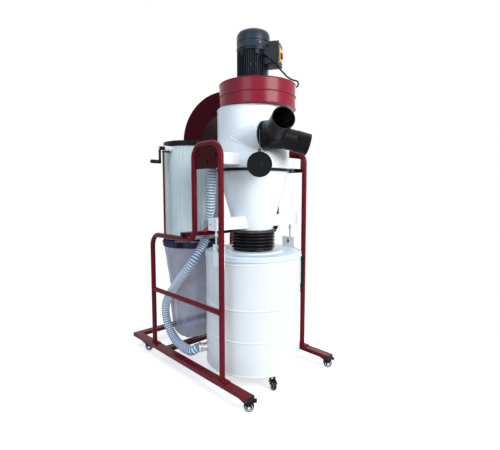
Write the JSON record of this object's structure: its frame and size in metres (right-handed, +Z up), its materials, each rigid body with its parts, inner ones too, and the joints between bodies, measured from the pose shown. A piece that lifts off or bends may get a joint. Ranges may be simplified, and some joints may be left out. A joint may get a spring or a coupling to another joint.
{
  "type": "mobile cyclone dust extraction unit",
  "caption": "Mobile cyclone dust extraction unit: a white cyclone with blower and motor in a tube frame on casters, a lever-lifted drum under it and a filter with a dust bag behind.",
  "frame": {"origin": "on the floor under the middle of the unit's bounding box", "axes": "+Z up, the inlet and the drum face -Y, the filter stands towards +Y, +X is the side of the switch box"},
  "size_m": [0.6622, 1.0586, 1.64],
  "materials": {
    "frame_red": "gloss powder coat, dark red",
    "duct_red": "gloss powder coat, dark red",
    "white_paint": "gloss powder coat, white",
    "black_plastic": "fine grain",
    "motor_paint": "semi-gloss black",
    "yellow_plastic": "gloss",
    "black_rubber": "smooth",
    "pleated_fabric": "pleated filter felt",
    "bag_band": "woven strap",
    "bag_film": "clear film, greyed by dust",
    "bright_steel": "zinc plated",
    "lever_red": "smooth grip",
    "hose_plastic": "ribbed clear hose",
    "wheel_tread": "grey tread"
  },
  "bodies": {
    "unit": {"left_side_frame": "frame_red", "right_side_frame": "frame_red", "side_braces": "frame_red", "base_rails": "frame_red", "base_crossbars": "frame_red", "upper_crossbar": "frame_red", "end_caps": "black_plastic", "post_feet": "frame_red", "gusset_plates": "frame_red", "barrel_brackets": "white_paint", "cyclone_barrel": "white_paint", "cyclone_cone": "white_paint", "clamp_band": "motor_paint", "inlet_duct": "white_paint", "y_fitting": "black_plastic", "lanyard": "hose_plastic", "inlet_cap": "black_plastic", "blower_housing": "duct_red", "outlet_elbow": "duct_red", "motor_body": "motor_paint", "fan_cowl": "motor_paint", "switch_box": "black_plastic", "switch_plate": "yellow_plastic", "power_cord": "black_rubber", "cord_coil": "black_rubber", "power_plug": "black_rubber", "filter_top_plate": "black_plastic", "filter_cartridge": "pleated_fabric", "bag_band": "bag_band", "dust_bag": "bag_film", "crank_post": "frame_red", "bellows": "black_rubber", "lift_arms": "white_paint", "hose_elbow": "black_plastic", "vacuum_hose": "hose_plastic", "caster_mounts": "motor_paint"},
    "drum": {"drum_body": "white_paint", "drum_lid": "white_paint", "drum_hooks": "white_paint", "lift_rods": "bright_steel", "drum_handle": "black_plastic", "drum_port": "bright_steel", "drum_caster_mounts": "motor_paint"},
    "left_lever": {"left_lift_lever": "lever_red"},
    "right_lever": {"right_lift_lever": "lever_red"},
    "crank": {"crank": "black_plastic"},
    "front_left_fork": {"front_left_fork": "motor_paint"},
    "front_left_wheel": {"front_left_wheel": "wheel_tread"},
    "front_right_fork": {"front_right_fork": "motor_paint"},
    "front_right_wheel": {"front_right_wheel": "wheel_tread"},
    "rear_left_fork": {"rear_left_fork": "motor_paint"},
    "rear_left_wheel": {"rear_left_wheel": "wheel_tread"},
    "rear_right_fork": {"rear_right_fork": "motor_paint"},
    "rear_right_wheel": {"rear_right_wheel": "wheel_tread"},
    "drum_fork_1": {"drum_fork_1": "motor_paint"},
    "drum_wheel_1": {"drum_wheel_1": "wheel_tread"},
    "drum_fork_2": {"drum_fork_2": "motor_paint"},
    "drum_wheel_2": {"drum_wheel_2": "wheel_tread"},
    "drum_fork_3": {"drum_fork_3": "motor_paint"},
    "drum_wheel_3": {"drum_wheel_3": "wheel_tread"}
  },
  "joints": [
    {"name": "drum_lift", "type": "slide", "parent": "unit", "child": "drum", "axis": [0, 0, 1], "range_m": [0, 0.012], "deforming": ["bellows"]},
    {"name": "left_lever_swing", "type": "hinge", "parent": "unit", "child": "left_lever", "pos_m": [-0.264, -0.184, 0.754], "axis": [1, 0, 0], "range_deg": [-62, 0]},
    {"name": "right_lever_swing", "type": "hinge", "parent": "unit", "child": "right_lever", "pos_m": [0.286, -0.184, 0.754], "axis": [1, 0, 0], "range_deg": [-62, 0]},
    {"name": "crank_turn", "type": "hinge", "parent": "unit", "child": "crank", "pos_m": [-0.268, 0.199, 1.115], "axis": [1, 0, 0], "continuous": true},
    {"name": "front_left_swivel", "type": "hinge", "parent": "unit", "child": "front_left_fork", "pos_m": [-0.268, -0.413, 0.046], "axis": [0, 0, 1], "continuous": true},
    {"name": "front_left_roll", "type": "hinge", "parent": "front_left_fork", "child": "front_left_wheel", "pos_m": [-0.25721, -0.42342, 0.0205], "axis": [0.6947, 0.7193, 0], "continuous": true},
    {"name": "front_right_swivel", "type": "hinge", "parent": "unit", "child": "front_right_fork", "pos_m": [0.29, -0.413, 0.046], "axis": [0, 0, 1], "continuous": true},
    {"name": "front_right_roll", "type": "hinge", "parent": "front_right_fork", "child": "front_right_wheel", "pos_m": [0.30079, -0.42342, 0.0205], "axis": [0.6947, 0.7193, 0], "continuous": true},
    {"name": "rear_left_swivel", "type": "hinge", "parent": "unit", "child": "rear_left_fork", "pos_m": [-0.268, 0.409, 0.046], "axis": [0, 0, 1], "continuous": true},
    {"name": "rear_left_roll", "type": "hinge", "parent": "rear_left_fork", "child": "rear_left_wheel", "pos_m": [-0.25721, 0.39858, 0.0205], "axis": [0.6947, 0.7193, 0], "continuous": true},
    {"name": "rear_right_swivel", "type": "hinge", "parent": "unit", "child": "rear_right_fork", "pos_m": [0.29, 0.409, 0.046], "axis": [0, 0, 1], "continuous": true},
    {"name": "rear_right_roll", "type": "hinge", "parent": "rear_right_fork", "child": "rear_right_wheel", "pos_m": [0.30079, 0.39858, 0.0205], "axis": [0.6947, 0.7193, 0], "continuous": true},
    {"name": "drum_swivel_1", "type": "hinge", "parent": "drum", "child": "drum_fork_1", "pos_m": [-0.05911, -0.36464, 0.051], "axis": [0, 0, 1], "continuous": true},
    {"name": "drum_roll_1", "type": "hinge", "parent": "drum_fork_1", "child": "drum_wheel_1", "pos_m": [-0.06424, -0.37873, 0.023], "axis": [0.9397, -0.342, 0], "continuous": true},
    {"name": "drum_swivel_2", "type": "hinge", "parent": "drum", "child": "drum_fork_2", "pos_m": [0.21289, -0.1364, 0.051], "axis": [0, 0, 1], "continuous": true},
    {"name": "drum_roll_2", "type": "hinge", "parent": "drum_fork_2", "child": "drum_wheel_2", "pos_m": [0.20776, -0.1505, 0.023], "axis": [0.9397, -0.342, 0], "continuous": true},
    {"name": "drum_swivel_3", "type": "hinge", "parent": "drum", "child": "drum_fork_3", "pos_m": [-0.12077, -0.01496, 0.051], "axis": [0, 0, 1], "continuous": true},
    {"name": "drum_roll_3", "type": "hinge", "parent": "drum_fork_3", "child": "drum_wheel_3", "pos_m": [-0.1259, -0.02906, 0.023], "axis": [0.9397, -0.342, 0], "continuous": true}
  ],
  "couplings": [
    {"joint": "left_lever_swing", "follows": "drum_lift", "rad_per_m": -87.266},
    {"joint": "right_lever_swing", "follows": "drum_lift", "rad_per_m": -87.266}
  ]
}
